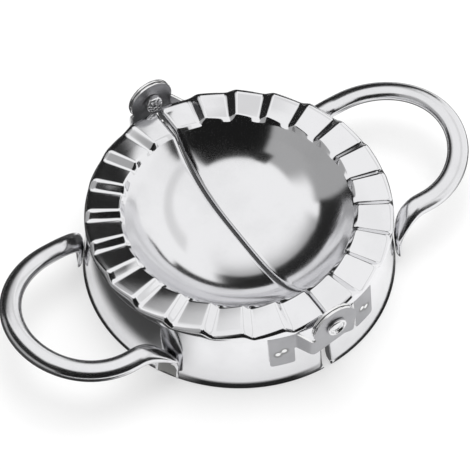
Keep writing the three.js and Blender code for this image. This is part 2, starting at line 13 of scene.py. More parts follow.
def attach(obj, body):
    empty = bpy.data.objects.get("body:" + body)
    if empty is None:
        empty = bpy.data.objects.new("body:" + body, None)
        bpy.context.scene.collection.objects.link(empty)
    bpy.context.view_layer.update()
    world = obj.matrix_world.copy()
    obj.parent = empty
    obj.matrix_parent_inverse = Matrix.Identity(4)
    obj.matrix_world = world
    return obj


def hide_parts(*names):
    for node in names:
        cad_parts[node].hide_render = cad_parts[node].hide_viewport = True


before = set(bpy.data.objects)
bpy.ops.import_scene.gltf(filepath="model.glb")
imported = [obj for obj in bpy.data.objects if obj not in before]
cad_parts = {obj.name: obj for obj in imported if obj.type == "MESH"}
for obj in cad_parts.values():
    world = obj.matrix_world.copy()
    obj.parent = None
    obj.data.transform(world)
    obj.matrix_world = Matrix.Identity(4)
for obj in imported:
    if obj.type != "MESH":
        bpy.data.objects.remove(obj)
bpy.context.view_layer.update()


# ---- Camera: above the near left side and far off, with a long lens, so that the ring's far side is
# hardly smaller than its near side. It aims a little to the left of the press's middle and below it.

MM = 0.001
CAMERA_TURN = math.radians(-33.5)
CAMERA_TILT = math.radians(53.9)
CAMERA_DISTANCE = 800 * MM
CAMERA_LENS = 196.8
CAMERA_AIM_HEIGHT = 14 * MM
FRAMING_SHIFT = 1.28 * MM


def set_out(name, data):
    """A new object of the scene, at the origin."""
    piece = bpy.data.objects.new(name, data)
    bpy.context.scene.collection.objects.link(piece)
    return piece


away = Vector((
    math.sin(CAMERA_TURN) * math.cos(CAMERA_TILT),
    -math.cos(CAMERA_TURN) * math.cos(CAMERA_TILT),
    math.sin(CAMERA_TILT),
))
rightward = Vector((math.cos(CAMERA_TURN), math.sin(CAMERA_TURN), 0))
upward = away.cross(rightward)
press_middle = Vector((0, 0, CAMERA_AIM_HEIGHT))
camera_data = bpy.data.cameras.new("studio_camera")
camera_data.lens = CAMERA_LENS
camera = set_out("studio_camera", camera_data)
camera.location = press_middle + away * CAMERA_DISTANCE
aim = press_middle - (rightward + upward) * FRAMING_SHIFT
camera.rotation_euler = (aim - camera.location).to_track_quat("-Z", "Y").to_euler()
bpy.context.scene.camera = camera
bpy.context.scene.view_settings.view_transform = "Standard"


# ---- Table and studio: a white table, white walls all round and one soft lamp overhead. Dark and grey
# cards stand round the press and hang beside it, where the photographed steel mirrors a darker room.
# Cards on the table darken it where the steel mirrors it, and under the press and round the skirt's
# foot they are painted shade. Only the polished steel sees them.

WHITE = (1, 1, 1, 1)
FLOOR_SIDE = 3.0
FLOOR_DROP = 0.03 * MM
FLOOR_COLOUR = (0.96, 0.96, 0.96, 1)
FLOOR_ROUGHNESS = 0.9
FLOOR_GLOW = 0.5
ROOM_FILL = 0.72
LAMP_SIDE = 0.9
LAMP_PLACE = (0.25, 0.2, 1.1)
LAMP_POWER = 9.0
CARD_LIFT = 0.02 * MM


class Wire:
    """A node socket; arithmetic on it adds Math nodes to its tree."""

    def __init__(self, tree, socket):
        self.tree = tree
        self.socket = socket

    def math(self, operation, *others):
        node = self.tree.nodes.new("ShaderNodeMath")
        node.operation = operation
        for slot, value in zip(node.inputs, (self, *others)):
            feed(self.tree, slot, value)
        return Wire(self.tree, node.outputs[0])

    def __add__(self, other):
        return self.math("ADD", other)

    def __mul__(self, other):
        return self.math("MULTIPLY", other)

    def __sub__(self, other):
        return self.math("SUBTRACT", other)

    def __rsub__(self, other):
        return self.math("MULTIPLY", -1).math("ADD", other)

    def __truediv__(self, other):
        return self.math("DIVIDE", other)

    def __pow__(self, other):
        return self.math("POWER", other)

    def __lt__(self, other):
        return self.math("LESS_THAN", other)

    def __gt__(self, other):
        return self.math("GREATER_THAN", other)

    __radd__ = __add__
    __rmul__ = __mul__


def feed(tree, slot, value):
    """Links a wire to a socket, or sets the socket's own value."""
    if isinstance(value, Wire):
        tree.links.new(value.socket, slot)
    else:
        slot.default_value = value


def place(tree, kind, settings=None, values=None, output=0):
    """Adds a node: its settings first, then the values or wires of its sockets."""
    node = tree.nodes.new(kind)
    for name, value in (settings or {}).items():
        setattr(node, name, value)
    for key, value in (values or {}).items():
        feed(tree, node.inputs[key], value)
    return Wire(tree, node.outputs[output])


def smooth_step(tree, value, low, high):
    """Goes smoothly from 0 to 1 while the value goes from low to high."""
    return place(tree, "ShaderNodeMapRange", {"interpolation_type": "SMOOTHSTEP"}, {
        "Value": value, "From Min": low, "From Max": high,
    })


def shader(name):
    """A new material's empty tree and its output socket."""
    material = bpy.data.materials.new(name)
    material.use_nodes = True
    tree = material.node_tree
    tree.nodes.clear()
    out = tree.nodes.new("ShaderNodeOutputMaterial")
    return material, tree, out.inputs["Surface"]


def studio_panel(name, points, faces, material):
    """A surface of the studio, with its place in its mesh."""
    mesh = bpy.data.meshes.new(name)
    mesh.from_pydata([tuple(p) for p in points], [], faces)
    mesh.materials.append(material)
    mesh.shade_smooth()
    return set_out(name, mesh)


def seen_directly(tree):
    """1 for the rays that show the room itself: from the camera, or by a mirror or a glass."""
    rays = [
        place(tree, "ShaderNodeLightPath", output=name)
        for name in ("Is Camera Ray", "Is Glossy Ray", "Is Transmission Ray")
    ]
    return rays[0].math("MAXIMUM", rays[1]).math("MAXIMUM", rays[2])


table_white, tree, surface = shader("table_white")
matt = place(tree, "ShaderNodeBsdfPrincipled", values={
    "Base Color": FLOOR_COLOUR, "Roughness": FLOOR_ROUGHNESS,
})
glow = place(tree, "ShaderNodeEmission", values={"Color": WHITE, "Strength": 1.0})
feed(tree, surface, place(tree, "ShaderNodeMixShader", values={
    0: seen_directly(tree) * FLOOR_GLOW, 1: matt, 2: glow,
}))
reach = FLOOR_SIDE / 2
corners = [(-reach, -reach), (reach, -reach), (reach, reach), (-reach, reach)]
table = studio_panel("table", [(x, y, -FLOOR_DROP) for x, y in corners], [(0, 1, 2, 3)], table_white)

world = bpy.data.worlds.new("white_room")
world.use_nodes = True
bpy.context.scene.world = world
tree = world.node_tree
tree.nodes.clear()
room_out = tree.nodes.new("ShaderNodeOutputWorld")
seen = seen_directly(tree)
room = place(tree, "ShaderNodeBackground", values={
    "Color": WHITE, "Strength": seen + (1 - seen) * ROOM_FILL,
})
feed(tree, room_out.inputs["Surface"], room)

lamp_data = bpy.data.lights.new("overhead_softbox", "AREA")
lamp_data.shape = "SQUARE"
lamp_data.size = LAMP_SIDE
lamp_data.energy = LAMP_POWER
lamp = set_out("overhead_softbox", lamp_data)
lamp.location = LAMP_PLACE
lamp.rotation_euler = (-lamp.location).to_track_quat("-Z", "Y").to_euler()
lamp.visible_glossy = False


def shares(count):
    """The ends of a whole's equal parts, from 0 to 1."""
    return [n / count for n in range(count + 1)]


def skin(rows):
    """Points and faces of a sheet that runs through rows of points."""
    width = len(rows[0])
    points = [p for row in rows for p in row]
    faces = []
    for r in range(len(rows) - 1):
        for c in range(width - 1):
            at = r * width + c
            faces.append((at, at + 1, at + width + 1, at + width))
    return points, faces


def fading_card(name, across_span, up_span, edges, shade, spot, columns=36, rows=12):
    """A card seen only in the steel. It covers two spans, which spot turns into places, and its start,
    end, low and high edges fade over the widths given, in the spans' own measure."""
    wide, tall = across_span[1] - across_span[0], up_span[1] - up_span[0]
    material, tree, surface = shader(name)
    uv = place(tree, "ShaderNodeTexCoord", output="UV")
    across = place(tree, "ShaderNodeSeparateXYZ", values={0: uv})
    above = Wire(tree, across.socket.node.outputs[1])
    cover = 1
    margins = (across, 1 - across, above, 1 - above)
    for margin, edge, size in zip(margins, edges, (wide, wide, tall, tall)):
        if edge:
            cover = cover * smooth_step(tree, margin, 0, edge / size)
    grey = place(tree, "ShaderNodeEmission", values={"Color": WHITE, "Strength": shade})
    clear = place(tree, "ShaderNodeBsdfTransparent")
    feed(tree, surface, place(tree, "ShaderNodeMixShader", values={0: cover, 1: clear, 2: grey}))
    sheet = [
        [spot(across_span[0] + wide * u, up_span[0] + tall * v) for u in shares(columns)]
        for v in shares(rows)
    ]
    piece = studio_panel(name, *skin(sheet), material)
    layer = piece.data.uv_layers.new(name="card")
    for loop in piece.data.loops:
        row, column = divmod(loop.vertex_index, columns + 1)
        layer.data[loop.index].uv = (column / columns, row / rows)
    for ray in ("camera", "diffuse", "transmission", "volume_scatter", "shadow"):
        setattr(piece, "visible_" + ray, False)


def round_press(turn, lift, distance):
    """A place round the press, at a turn from straight in front of it and a lift over the table."""
    side, height = math.radians(turn), math.radians(lift)
    return distance * Vector((
        math.sin(side) * math.cos(height), -math.cos(side) * math.cos(height), math.sin(height),
    ))


def wall_card(name, start, end, low, high, edges, shade, distance):
    """A card that stands round the press, from turn to turn and from lift to lift, in degrees."""
    fading_card(
        name, (start, end), (low, high), edges, shade,
        lambda turn, lift: round_press(turn, lift, distance),
    )


def table_card(name, start, end, inner, outer, edges, shade, layer):
    """A card that lies on the table round the press, from turn to turn and between two radii."""
    lift = Vector((0, 0, CARD_LIFT * layer))
    fading_card(
        name, (start, end), (inner, outer), edges, shade,
        lambda turn, radius: round_press(turn, 0, radius * MM) + lift, columns=90,
    )


def hung_card(name, x_span, y_span, height, edges, shade):
    """A card that hangs level beside the press, in millimetres."""
    fading_card(name, x_span, y_span, edges, shade, lambda x, y: Vector((x, y, height)) * MM)


wall_card("dark_room_behind_camera", -66, 24, -22, 65, edges=(5, 8, 8, 4), shade=0.012, distance=0.60)
wall_card("dark_above_left_wall", -78, -54, 49, 66, edges=(4, 4, 4, 4), shade=0.02, distance=0.59)
wall_card("dark_right_of_room", 16, 37, -5, 40, edges=(4, 6, 4, 3), shade=0.02, distance=0.59)
wall_card("dim_left_wall", -148, -44, -22, 45, edges=(5, 6, 16, 9), shade=0.40, distance=0.64)
wall_card("pale_left_wall", -134, -50, 28, 63, edges=(30, 5, 8, 6), shade=0.43, distance=0.63)
wall_card("dark_far_wall", 138, 192, -27, 38.5, edges=(5, 7, 25, 4), shade=0.02, distance=0.61)
wall_card("grey_above_far_wall", 138, 206, 28, 54, edges=(6, 10, 2, 18), shade=0.42, distance=0.63)
wall_card("dark_far_left_wall", 178, 220, -24, 37, edges=(6, 5, 12, 4), shade=0.02, distance=0.62)
wall_card("dark_far_corner", 120, 149, -6, 25, edges=(4, 4, 3, 4), shade=0.02, distance=0.58)
wall_card("grey_seam_on_right_wall", 20, 127, 38, 52, edges=(20, 4, 5, 5), shade=0.78, distance=0.64)
hung_card("dark_right_panel", (60, 108), (36, 84), 38, edges=(4, 8, 2, 8), shade=0.02)
hung_card("dark_left_panel", (-134, -88), (-48, 58), 42, edges=(10, 3, 10, 10), shade=0.02)
table_card("dim_table_beyond", 118, 312, 53, 560, edges=(28, 28, 6, 60), shade=0.08, layer=1)
table_card("dark_under_left_handle", -148, -58, 53, 150, edges=(20, 14, 14, 40), shade=0.06, layer=2)
table_card("dark_before_left_handle", -80, -38, 70, 170, edges=(10, 9, 8, 40), shade=0.04, layer=3)
table_card("dark_under_right_handle", 58, 140, 58, 150, edges=(22, 20, 10, 40), shade=0.06, layer=4)
# Painted shade: dark cards under the press and round the skirt's foot stand for the shade on the table
# there, and only the steel mirrors them.
table_card("painted_shade_under_press", -180, 180, 0, 49.4, edges=(0, 0, 0, 0), shade=0.1, layer=5)
table_card("shadow_at_foot", -180, 180, 49.5, 50.7, edges=(0, 0, 0, 0.5), shade=0.02, layer=5)
table_card("shadow_before_foot", -70, 6, 49.5, 52.4, edges=(24, 20, 0, 1.2), shade=0.02, layer=6)


# ---- Press plates: each is one stamping of polished sheet, with half of the bowl, a smooth ledge
# round it, the crimped rim that seals the dough, and edges turned down along rim and parting line.
# A small dent near the parting line is a mark of the stamping.

RIM_RADIUS = 47.8
RIM_HEIGHT = 25.5
SHEET = 0.6
CUT_BEVEL = 0.12
MERGE_DISTANCE = 0.001 * MM
RIM_LIP_DROP = 2.3
RIM_BEND = 2.2
RIM_MARGIN = 0.05
CRIMP_STEPS = 11
CRIMP_HEIGHT = 2.0
CRIMP_LENGTH = 11.1
CRIMP_RUNOUT = 1.4
CRIMP_FOOT_BEND = 0.5
STEEP_ANGLE = math.radians(3.7)
CREASE_SOFTNESS = 0.92
CREASE_REACH = math.radians(1.5)
CREASE_LINES = 5
WIDE_FACE_LINES = 7
STEEP_FACE_LINES = 3
LEDGE_OUTER_DROP = 1.45
LEDGE_OUTER_BEND = 0.45
LEDGE_WIDTH = 1.7
LEDGE_INNER_DROP = 3.35
LEDGE_INNER_BEND = 0.7
BOWL_DEPTH = 14.4
BOWL_POWER = 3.5
BOWL_RINGS = 26
BOWL_LEAD = 1.2
BOWL_MARGIN = 0.3
PLATE_EDGE = 0.45
EDGE_BEND = 1.3
EDGE_LIP_DEPTH = 4.2
TURNED_LINES = 6
HINGE_DENT = (2.1, 44.0)
DENT_DEPTH = 0.2
DENT_RADIUS = 0.9
DENT_CLEARANCE = 1
MARK_SCALE = 55.0
MARK_START = 0.42
MARK_END = 0.68
MARK_SHADE = 0.95
HALF_TURN = Matrix.Rotation(math.pi, 4, "Z")

lip_bottom = RIM_HEIGHT - RIM_LIP_DROP
crimp_foot = RIM_RADIUS - CRIMP_LENGTH
crimp_middle = crimp_foot + CRIMP_LENGTH / 2 - DENT_CLEARANCE
crimp_pitch = math.pi / (CRIMP_STEPS + 1)
ledge_outer = crimp_foot - CRIMP_RUNOUT
ledge_inner = ledge_outer - LEDGE_WIDTH
bowl_mouth = RIM_HEIGHT - LEDGE_INNER_DROP
bowl_floor = RIM_HEIGHT - BOWL_DEPTH


def clamped(share):
    """A share kept from 0 to 1."""
    return min(max(share, 0), 1)


def quarter_turn(steps):
    """The angles at the ends of a quarter turn's equal steps."""
    return [math.pi / 2 * n / steps for n in range(1, steps + 1)]


def turned_edge(bend, depth):
    """How far a turned edge has gone on and in, at the lines of its bend and of its straight lip."""
    curve = [(bend * math.sin(t), bend * (1 - math.cos(t))) for t in quarter_turn(TURNED_LINES)]
    return curve + [(bend, bend + (depth - bend) * n / 2) for n in (1, 2)]


def softened(line, steps=4):
    """A line of (r, z, bend) whose corners are bent over the length given with each."""
    out = []
    for at, (r, z, bend) in enumerate(line):
        corner = Vector((r, z))
        if not bend:
            out.append(corner)
            continue
        start = corner + (Vector(line[at - 1][:2]) - corner).normalized() * bend
        end = corner + (Vector(line[at + 1][:2]) - corner).normalized() * bend
        for t in shares(steps):
            out.append(start * (1 - t) ** 2 + corner * 2 * t * (1 - t) + end * t * t)
    return out


def bowl_height(radius):
    """The height of the bowl's upper face: flat in the middle and steep at the mouth."""
    return bowl_floor + (bowl_mouth - bowl_floor) * (radius / ledge_inner) ** BOWL_POWER


def ring_spot(radius, angle, height):
    """A place on the right half, at an angle from the near hinge to the far one."""
    return Vector((radius * math.sin(angle), -radius * math.cos(angle), height))


def crimp_columns():
    """The angles of the mesh's lines round the rim: close together where the sheet is creased."""
    creases = [
        step * crimp_pitch + side * STEEP_ANGLE / 2
        for step in range(1, CRIMP_STEPS + 1) for side in (-1, 1)
    ]
    offsets = [CREASE_REACH * n / CREASE_LINES for n in range(-CREASE_LINES, CREASE_LINES + 1)]
    lines = [0.0, math.pi] + [crease + offset for crease in creases for offset in offsets]
    stops = [-CREASE_REACH] + creases + [math.pi + CREASE_REACH]
    for before, after in zip(stops, stops[1:]):
        low, high = before + CREASE_REACH, after - CREASE_REACH
        count = WIDE_FACE_LINES if high - low > STEEP_ANGLE else STEEP_FACE_LINES
        lines += [low + (high - low) * n / count for n in range(1, count)]
    return sorted(lines)


def half_ring_angle(nominal, radius, cut, first):
    """Slides the first and last lines so that the half ring ends on the plane x = cut."""
    low = math.asin(min(cut / radius, 1))
    if nominal < first:
        return low + (first - low) * nominal / first
    if nominal > math.pi - first:
        return math.pi - half_ring_angle(math.pi - nominal, radius, cut, first)
    return nominal


def joined(*sheets):
    """Several sheets of points and faces as one, in metres, with the points they share merged."""
    form = bmesh.new()
    for points, faces in sheets:
        spots = [form.verts.new(Vector(p) * MM) for p in points]
        for face in faces:
            form.faces.new([spots[i] for i in face])
    bmesh.ops.remove_doubles(form, verts=form.verts, dist=MERGE_DISTANCE)
    mesh = bpy.data.meshes.new("sheet")
    form.to_mesh(mesh)
    form.free()
    return mesh


def flat_plate():
    """The stamping before its crimps: section turned about Z and ended in the parting edge's bend."""
    # The last point is dropped: it only gives the ledge's inner bend its slope into the bowl.
    bowl_lead = ledge_inner - BOWL_LEAD
    section = softened([
        (RIM_RADIUS, lip_bottom, 0),
        (RIM_RADIUS, RIM_HEIGHT, RIM_BEND),
        *[(HINGE_DENT[1] + step * DENT_RADIUS, RIM_HEIGHT, 0) for step in (1, 0.5, 0, -0.5, -1)],
        (crimp_middle, RIM_HEIGHT, 0),
        (crimp_foot, RIM_HEIGHT, CRIMP_FOOT_BEND),
        (ledge_outer, RIM_HEIGHT - LEDGE_OUTER_DROP, LEDGE_OUTER_BEND),
        (ledge_inner, bowl_mouth, LEDGE_INNER_BEND),
        (bowl_lead, bowl_height(bowl_lead), 0),
    ])[:-1]
    cut = PLATE_EDGE + EDGE_BEND
    lines = crimp_columns()
    first = crimp_pitch - STEEP_ANGLE / 2 - CREASE_REACH
    rows = [
        [ring_spot(p.x, half_ring_angle(a, p.x, cut, first), p.y) for a in lines] for p in section
    ]

    # The bowl's rings shrink from its mouth to a point where the parting edge starts to bend.
    mouth = rows[-1]
    mouth_radius = section[-1].x
    middle = Vector((cut, 0, 0))
    for turn in quarter_turn(BOWL_RINGS)[:-1]:
        share = math.cos(turn)
        if share * mouth_radius > mouth_radius - BOWL_MARGIN:
            continue
        ring = [middle + (Vector((m.x, m.y, 0)) - middle) * share for m in mouth]
        rows.append([Vector((q.x, q.y, bowl_height(math.hypot(q.x, q.y)))) for q in ring])
    rows.append([Vector((cut, 0, bowl_height(cut)))] * len(lines))

    # The parting edge turns down along all of them, and dies out down the rim's lip.
    along = [row[0] for row in rows] + [row[-1] for row in rows[-2::-1]]
    edge_rows = [along]
    for onward, drop in turned_edge(EDGE_BEND, EDGE_LIP_DEPTH):
        x = cut - onward
        line = []
        for at, spot in enumerate(along):
            ring = min(at, len(along) - 1 - at)
            if ring < len(section):
                radius, height = section[ring]
                y = math.copysign(math.sqrt(radius ** 2 - x ** 2), spot.y)
                on_lip = radius > RIM_RADIUS - RIM_BEND
                share = clamped((height - lip_bottom) / RIM_LIP_DROP) if on_lip else 1
                line.append(Vector((x, y, height - drop * share)))
            else:
                line.append(Vector((x, spot.y, bowl_height(math.hypot(x, spot.y)) - drop)))
        edge_rows.append(line)
    return joined(skin(rows), skin(edge_rows))


def tool(name, sizes):
    """An empty Geometry Nodes tree with named inputs: the tree, its input wires and identifiers."""
    tree = bpy.data.node_groups.new(name, "GeometryNodeTree")
    tree.interface.new_socket("Geometry", in_out="OUTPUT", socket_type="NodeSocketGeometry")
    keys = {}
    for label, kind in {"Geometry": "Geometry", **sizes, "Finish": "Material"}.items():
        item = tree.interface.new_socket(label, in_out="INPUT", socket_type="NodeSocket" + kind)
        keys[label] = item.identifier
    entry = tree.nodes.new("NodeGroupInput")
    wires = {label: Wire(tree, entry.outputs[label]) for label in keys}
    return tree, wires, keys


def finish_tool(tree, geometry, finish):
    """Ends a tree: instances made real, and the steel's finish set."""
    real = place(tree, "GeometryNodeRealizeInstances", values={0: geometry})
    dressed = place(tree, "GeometryNodeSetMaterial", values={"Geometry": real, "Material": finish})
    out = tree.nodes.new("NodeGroupOutput")
    feed(tree, out.inputs[0], dressed)


def worked(name, mesh, tree, keys, sizes, finish):
    """The plain mesh that a tree makes of a mesh."""
    blank = set_out(name + "_blank", mesh)
    modifier = blank.modifiers.new(name, "NODES")
    modifier.node_group = tree
    for label, value in sizes.items():
        modifier[keys[label]] = value
    modifier[keys["Finish"]] = finish
    ready = blank.evaluated_get(bpy.context.evaluated_depsgraph_get())
    made = bpy.data.meshes.new_from_object(ready)
    made.name = name
    blank.modifiers.remove(modifier)
    bpy.data.objects.remove(blank)
    return made


def crimping_die():
    """The rule of the crimps: a saw-tooth round the rim whose wide faces climb and steep faces drop."""
    tree, size, keys = tool("crimping_die", {
        "Steps": "Int", "Height": "Float", "Steep angle": "Float", "Softness": "Float",
        "Runout start": "Float", "Runout end": "Float",
        "Rim": "Float", "Lip bottom": "Float", "Lip drop": "Float",
        "Dent depth": "Float", "Dent radius": "Float",
    })
    spot = place(tree, "GeometryNodeInputPosition")
    x = place(tree, "ShaderNodeSeparateXYZ", values={0: spot})
    y = Wire(tree, x.socket.node.outputs[1])
    z = Wire(tree, x.socket.node.outputs[2])
    radius = (x * x + y * y).math("SQRT")
    angle = x.math("ARCTAN2", y * -1)

    # From the parting edge or the valley before, the sheet climbs to a ridge, falls steeply across the
    # nearest step to its valley, and climbs on to the next ridge or the parting edge.
    steps, steep = size["Steps"], size["Steep angle"]
    pitch = (steps + 1) ** -1 * math.pi
    nearest = (angle / pitch).math("ROUND").math("MAXIMUM", 1).math("MINIMUM", steps)
    past = angle - nearest * pitch
    fall = past * -2 / steep
    crimp_start = (nearest - 1) * pitch + steep * 0.5 * (nearest > 1.5)
    ridge = nearest * pitch - steep * 0.5
    valley = nearest * pitch + steep * 0.5
    crimp_end = (nearest + 1) * pitch - steep * 0.5 * (nearest < steps - 0.5)
    climb_to = (angle - crimp_start) / (ridge - crimp_start) * 2 - 1
    climb_from = (angle - valley) / (crimp_end - valley) * 2 - 1
    before = climb_to.math("SMOOTH_MIN", fall, size["Softness"])
    after = climb_from.math("SMOOTH_MAX", fall, size["Softness"])
    is_before = past < 0
    wave = before * is_before + after * (1 - is_before)

    # The wave dies out on to the ledge and down the rim's lip; the dent is pressed in after it.
    share = smooth_step(tree, radius, size["Runout start"], size["Runout end"])
    down = ((z - size["Lip bottom"]) / size["Lip drop"]).math("MAXIMUM", 0)
    share = share * (1 - (1 - down) * (radius > size["Rim"]))
    off_x = x - HINGE_DENT[0] * MM
    off_y = y - HINGE_DENT[1] * MM
    dent = ((off_x * off_x + off_y * off_y) * -1 / (size["Dent radius"] ** 2)).math("EXPONENT")
    rise = wave * share * size["Height"] * 0.5 - dent * size["Dent depth"]
    lift = place(tree, "ShaderNodeCombineXYZ", values={"Z": rise})
    pressed = place(tree, "GeometryNodeSetPosition", values={"Geometry": size["Geometry"], "Offset": lift})
    finish_tool(tree, pressed, size["Finish"])
    return tree, keys


def blended(tree, share, under, over):
    """A colour that goes from one to another with a share."""
    return place(tree, "ShaderNodeMix", {"data_type": "RGBA"}, {0: share, 6: under, 7: over}, output=2)


def steel(name, colour, roughness, ripple, ripple_size, grain, grain_size, cloud=0.04, weld_shade_and_highlight=()):
    """Stainless steel: faint ripples of the sheet, fine polishing grain and cloudy handling marks. A
    weld is a mesh's attribute; the rings paint shade round each weld dimple and a highlight in its
    middle, and each says from and to which share of the weld, and the grey there."""
    material, tree, surface = shader(name)
    where = place(tree, "ShaderNodeTexCoord", output="Object")
    broad = place(tree, "ShaderNodeTexNoise", values={
        "Vector": where, "Scale": 1 / (ripple_size * MM), "Detail": 2.0,
    })
    fine = place(tree, "ShaderNodeTexNoise", values={
        "Vector": where, "Scale": 1 / (grain_size * MM), "Detail": 3.0,
    })
    marks = place(tree, "ShaderNodeTexNoise", values={
        "Vector": where, "Scale": MARK_SCALE, "Detail": 5.0, "Roughness": 0.6,
    })
    height = broad * (ripple * MM) + fine * (grain * MM)
    bump = place(tree, "ShaderNodeBump", values={"Strength": 1.0, "Distance": 1.0, "Height": height})
    smear = smooth_step(tree, marks, MARK_START, MARK_END)
    tone = blended(tree, smear, (*colour, 1), (*[c * MARK_SHADE for c in colour], 1))
    # Painted shade round each weld dimple and a painted highlight in its middle.
    if weld_shade_and_highlight:
        weld = place(tree, "ShaderNodeAttribute", {"attribute_name": "weld"}, output=2)
        for low, high, grey in weld_shade_and_highlight:
            tone = blended(tree, smooth_step(tree, weld, low, high), tone, (grey, grey, grey, 1))
    body = place(tree, "ShaderNodeBsdfPrincipled", values={
        "Metallic": 1.0, "Base Color": tone, "Roughness": smear * cloud + roughness, "Normal": bump,
    })
    feed(tree, surface, body)
    return material


def pressed_sheet(name, mesh, thickness, material, sharp=50, even=False, inside=None, sheared=None):
    """Gives a sheet its thickness under its upper face, and softens its cut edges."""
    piece = set_out(name, mesh)
    mesh.materials.clear()
    mesh.materials.append(material)
    wall = piece.modifiers.new("wall", "SOLIDIFY")
    if inside:
        mesh.materials.append(inside)
        wall.material_offset = 1
    if sheared:
        mesh.materials.append(sheared)
        wall.material_offset_rim = 1
    wall.thickness = thickness * MM
    wall.offset = -1
    wall.use_even_offset = even
    edge = piece.modifiers.new("cut_edge", "BEVEL")
    edge.width = CUT_BEVEL * MM
    edge.segments = 2
    edge.limit_method = "ANGLE"
    edge.angle_limit = math.radians(sharp)
    made = bpy.data.meshes.new_from_object(piece.evaluated_get(bpy.context.evaluated_depsgraph_get()))
    piece.modifiers.clear()
    piece.data = made
    made.name = name
    made.shade_smooth()
    made.set_sharp_from_angle(angle=math.radians(sharp))
    return piece


def both_halves(make, names, replaced):
    """Draws the right half's piece and its twin on the left, turned half round about Z."""
    right = make(names[0])
    left = set_out(names[1], right.data.copy())
    left.data.transform(HALF_TURN)
    left.data.name = names[1]
    for piece, nodes, body in ((right, replaced[0], "right_half"), (left, replaced[1], "left_half")):
        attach(piece, body)
        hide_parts(nodes)


sheet_polish = steel("polished_sheet", (0.83, 0.83, 0.845), roughness=0.11, ripple=0.012, ripple_size=9,
                     grain=0.0004, grain_size=0.35)
die, die_keys = crimping_die()
crimped = worked("crimped_plate", flat_plate(), die, die_keys, {
    "Steps": CRIMP_STEPS, "Height": CRIMP_HEIGHT * MM, "Steep angle": STEEP_ANGLE,
    "Softness": CREASE_SOFTNESS, "Runout start": ledge_outer * MM, "Runout end": crimp_foot * MM,
    "Rim": (RIM_RADIUS - RIM_BEND - RIM_MARGIN) * MM, "Lip bottom": lip_bottom * MM,
    "Lip drop": RIM_LIP_DROP * MM, "Dent depth": DENT_DEPTH * MM, "Dent radius": DENT_RADIUS * MM,
}, sheet_polish)
both_halves(
    lambda name: pressed_sheet(name, crimped, SHEET, sheet_polish),
    ("right_crimped_plate", "left_crimped_plate"), ("right_press_plate", "left_press_plate"),
)


# ---- Cutter skirts: half cones of the same sheet under the plates, flared at the cutting edge, with a
# flange above that is spot-welded under the rim and the cut ends turned in at the parting line.

SKIRT_INSET = 1.3
SKIRT_SPREAD = 3.0
SKIRT_FLARE_HEIGHT = 1.4
SKIRT_FLARE = 0.2
FLARE_LINES = 6
CUT_LIFT = 0.34
SHOULDER_BEND = 1.2
FLANGE_WIDTH = 3.8
RUNNING_GAP = 0.3
SKIRT_EDGE = 1.3
END_BEND = 1.5
RETURN_DEPTH = 3.0
RETURN_FOOT = 0.8
RETURN_ROUND = 1.5
WALL_LEVELS = 12
WALL_LINES = 120

skirt_height = RIM_HEIGHT - CRIMP_HEIGHT / 2 - SHEET - RUNNING_GAP
skirt_top = RIM_RADIUS - SKIRT_INSET
skirt_foot = skirt_top + SKIRT_SPREAD


def wall_radius(height):
    """Outer radius of the cone at a height above the table, without its flare."""
    share = height / skirt_height
    return skirt_foot - SKIRT_FLARE + (skirt_top - skirt_foot + SKIRT_FLARE) * share


def half_skirt(name):
    """The section from the cut edge up the wall and in along the flange, turned about Z. The ends are
    turned in over the wall's height, but not at its foot or along the flange."""
    flare_rise, wall_rise = SKIRT_FLARE_HEIGHT - CUT_LIFT, skirt_height - SKIRT_FLARE_HEIGHT
    flare = [
        Vector((wall_radius(z) + SKIRT_FLARE * (1 - z / SKIRT_FLARE_HEIGHT) ** 2, z))
        for z in [CUT_LIFT + flare_rise * n / FLARE_LINES for n in range(FLARE_LINES)]
    ]
    wall = [
        Vector((wall_radius(z), z))
        for z in [SKIRT_FLARE_HEIGHT + wall_rise * n / WALL_LEVELS for n in range(WALL_LEVELS)]
    ]
    shoulder = softened([
        (*wall[-1], 0),
        (wall_radius(skirt_height), skirt_height, SHOULDER_BEND),
        (skirt_top - FLANGE_WIDTH, skirt_height, 0),
    ])[1:]
    cut = SKIRT_EDGE + END_BEND
    rows = []
    for at, p in enumerate(flare + wall + shoulder):
        low = math.asin(cut / p.x)
        angles = [low + (math.pi - 2 * low) * n / WALL_LINES for n in range(WALL_LINES + 1)]
        arc = [ring_spot(p.x, a, p.y) for a in angles]
        on_wall = at < len(flare) + len(wall)
        turned = clamped((p.y - RETURN_FOOT) / RETURN_ROUND) if on_wall else 0
        turned = math.sqrt(turned * (2 - turned))
        for side, end in ((-1, arc[0]), (1, arc[-1])):
            tail = [
                Vector((cut - onward, end.y - side * inward * turned, p.y))
                for onward, inward in turned_edge(END_BEND, RETURN_DEPTH)
            ]
            arc = tail[::-1] + arc if side < 0 else arc + tail
        rows.append(arc)
    return pressed_sheet(name, joined(skin(rows)), SHEET, sheet_polish)


both_halves(
    half_skirt, ("right_skirt", "left_skirt"), ("right_cutter_skirt", "left_cutter_skirt"),
)


# ---- Loop handles: a thin steel tube bent to a D. Each end is crushed flat, turned down on the skirt's
# wall and welded there, with its open mouth cut back to an arch.

HANDLE_STANDOFF = 5.2
HANDLE_ROUND = 23.7
HANDLE_DROP = 9.5
HANDLE_RISE = 2.6
TUBE_WIDTH = 6.8
TUBE_THICKNESS = 5.0
TUBE_TILT = math.radians(-8)
TUBE_WALL = 0.8
FOOT_ANGLE = math.radians(31)
FOOT_WIDTH = 7.8
FOOT_THICKNESS = 3.0
FOOT_DROP = 13.2
FOOT_LENGTH = 6.6
FOOT_BEND = 2.6
FOOT_STEPS = 4
LEAD_BEND = 4.6
LEAD_LENGTH = 3.0
LEAD_STEPS = 16
ROUND_STEPS = 22
CRUSH_SHARE = 0.2
MOUTH_HEIGHT = 8.8
MOUTH_ROUND = 0.8
TUBE_SIDES = 32
TUBE_STEPS = 220

